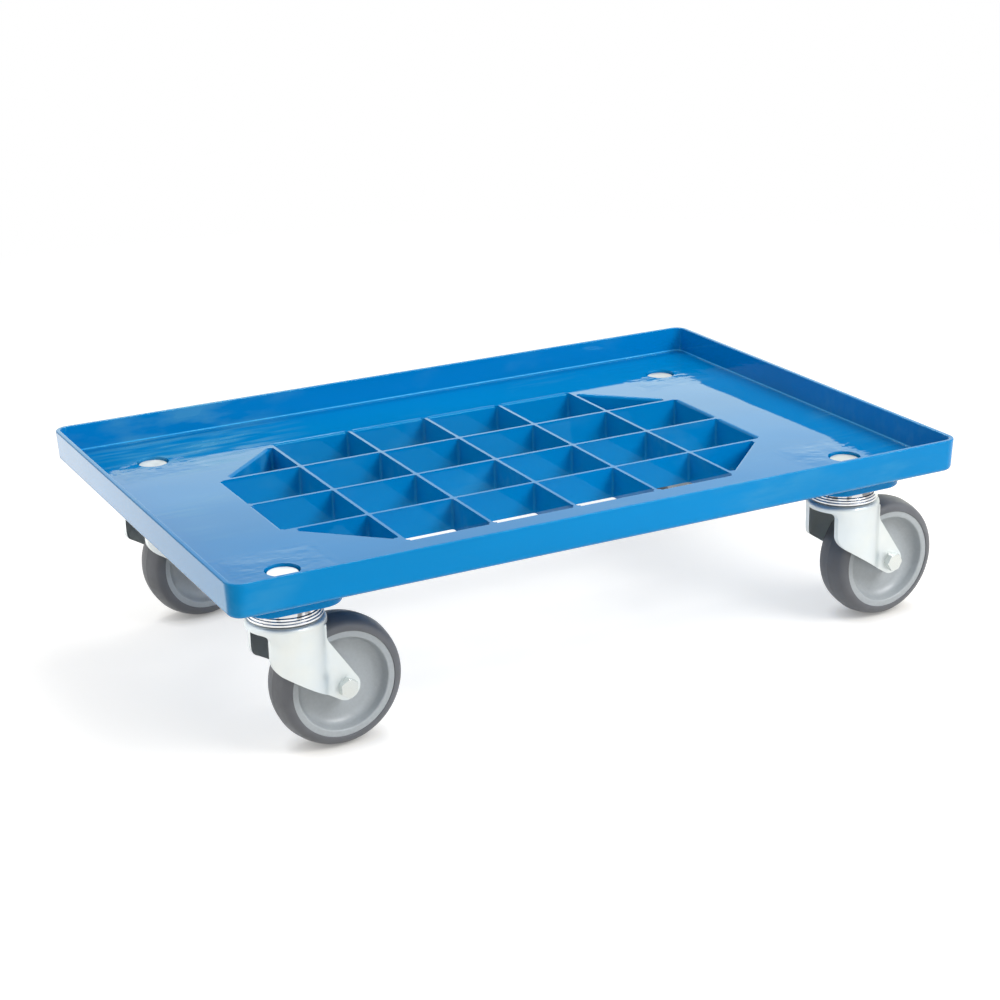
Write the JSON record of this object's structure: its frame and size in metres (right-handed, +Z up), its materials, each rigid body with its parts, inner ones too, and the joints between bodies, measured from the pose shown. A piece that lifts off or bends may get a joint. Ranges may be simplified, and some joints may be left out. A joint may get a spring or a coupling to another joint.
{
  "type": "crate dolly",
  "caption": "Low plastic dolly with a rimmed tray, an open grid floor and bolted swivel castors, for moving stacked crates.",
  "frame": {"origin": "middle of the load floor's top face, on the central crossing of the floor's ribs", "axes": "+X along the long side, +Y along the short side to the rear, +Z up"},
  "size_m": [0.6328, 0.4098, 0.163],
  "materials": {
    "blue_plastic": "glossy",
    "zinc_plate": "satin",
    "bright_zinc": "polished",
    "ball_steel": "polished",
    "grey_plastic": "satin",
    "bush_plastic": "satin",
    "grey_rubber": "matte"
  },
  "bodies": {
    "deck": {"deck": "blue_plastic", "castor_bolts": "zinc_plate", "castor_nuts": "zinc_plate", "top_cup_front_left": "bright_zinc", "king_sleeve_front_left": "zinc_plate", "lower_dish_front_left": "bright_zinc", "upper_balls_front_left": "ball_steel", "lower_balls_front_left": "ball_steel", "top_cup_front_right": "bright_zinc", "king_sleeve_front_right": "zinc_plate", "lower_dish_front_right": "bright_zinc", "upper_balls_front_right": "ball_steel", "lower_balls_front_right": "ball_steel", "top_cup_rear_left": "bright_zinc", "king_sleeve_rear_left": "zinc_plate", "lower_dish_rear_left": "bright_zinc", "upper_balls_rear_left": "ball_steel", "lower_balls_rear_left": "ball_steel", "top_cup_rear_right": "bright_zinc", "king_sleeve_rear_right": "zinc_plate", "lower_dish_rear_right": "bright_zinc", "upper_balls_rear_right": "ball_steel", "lower_balls_rear_right": "ball_steel"},
    "fork_front_left": {"fork_front_left": "zinc_plate", "axle_bolt_front_left": "zinc_plate", "axle_nut_front_left": "zinc_plate", "axle_sleeve_front_left": "zinc_plate"},
    "wheel_front_left": {"wheel_centre_front_left": "grey_plastic", "wheel_bushes_front_left": "bush_plastic", "tyre_front_left": "grey_rubber"},
    "fork_front_right": {"fork_front_right": "zinc_plate", "axle_bolt_front_right": "zinc_plate", "axle_nut_front_right": "zinc_plate", "axle_sleeve_front_right": "zinc_plate"},
    "wheel_front_right": {"wheel_centre_front_right": "grey_plastic", "wheel_bushes_front_right": "bush_plastic", "tyre_front_right": "grey_rubber"},
    "fork_rear_left": {"fork_rear_left": "zinc_plate", "axle_bolt_rear_left": "zinc_plate", "axle_nut_rear_left": "zinc_plate", "axle_sleeve_rear_left": "zinc_plate"},
    "wheel_rear_left": {"wheel_centre_rear_left": "grey_plastic", "wheel_bushes_rear_left": "bush_plastic", "tyre_rear_left": "grey_rubber"},
    "fork_rear_right": {"fork_rear_right": "zinc_plate", "axle_bolt_rear_right": "zinc_plate", "axle_nut_rear_right": "zinc_plate", "axle_sleeve_rear_right": "zinc_plate"},
    "wheel_rear_right": {"wheel_centre_rear_right": "grey_plastic", "wheel_bushes_rear_right": "bush_plastic", "tyre_rear_right": "grey_rubber"}
  },
  "joints": [
    {"name": "swivel_front_left", "type": "hinge", "parent": "deck", "child": "fork_front_left", "pos_m": [-0.242, -0.14, -0.0202], "axis": [0, 0, 1], "continuous": true},
    {"name": "roll_front_left", "type": "hinge", "parent": "fork_front_left", "child": "wheel_front_left", "pos_m": [-0.20603, -0.13849, -0.091], "axis": [-0.0419, 0.9991, 0], "continuous": true},
    {"name": "swivel_front_right", "type": "hinge", "parent": "deck", "child": "fork_front_right", "pos_m": [0.242, -0.14, -0.0202], "axis": [0, 0, 1], "continuous": true},
    {"name": "roll_front_right", "type": "hinge", "parent": "fork_front_right", "child": "wheel_front_right", "pos_m": [0.27796, -0.13824, -0.091], "axis": [-0.0489, 0.9988, 0], "continuous": true},
    {"name": "swivel_rear_left", "type": "hinge", "parent": "deck", "child": "fork_rear_left", "pos_m": [-0.242, 0.14, -0.0202], "axis": [0, 0, 1], "continuous": true},
    {"name": "roll_rear_left", "type": "hinge", "parent": "fork_rear_left", "child": "wheel_rear_left", "pos_m": [-0.20655, 0.14625, -0.091], "axis": [-0.1736, 0.9848, 0], "continuous": true},
    {"name": "swivel_rear_right", "type": "hinge", "parent": "deck", "child": "fork_rear_right", "pos_m": [0.242, 0.14, -0.0202], "axis": [0, 0, 1], "continuous": true},
    {"name": "roll_rear_right", "type": "hinge", "parent": "fork_rear_right", "child": "wheel_rear_right", "pos_m": [0.27791, 0.14251, -0.091], "axis": [-0.0698, 0.9976, 0], "continuous": true}
  ]
}
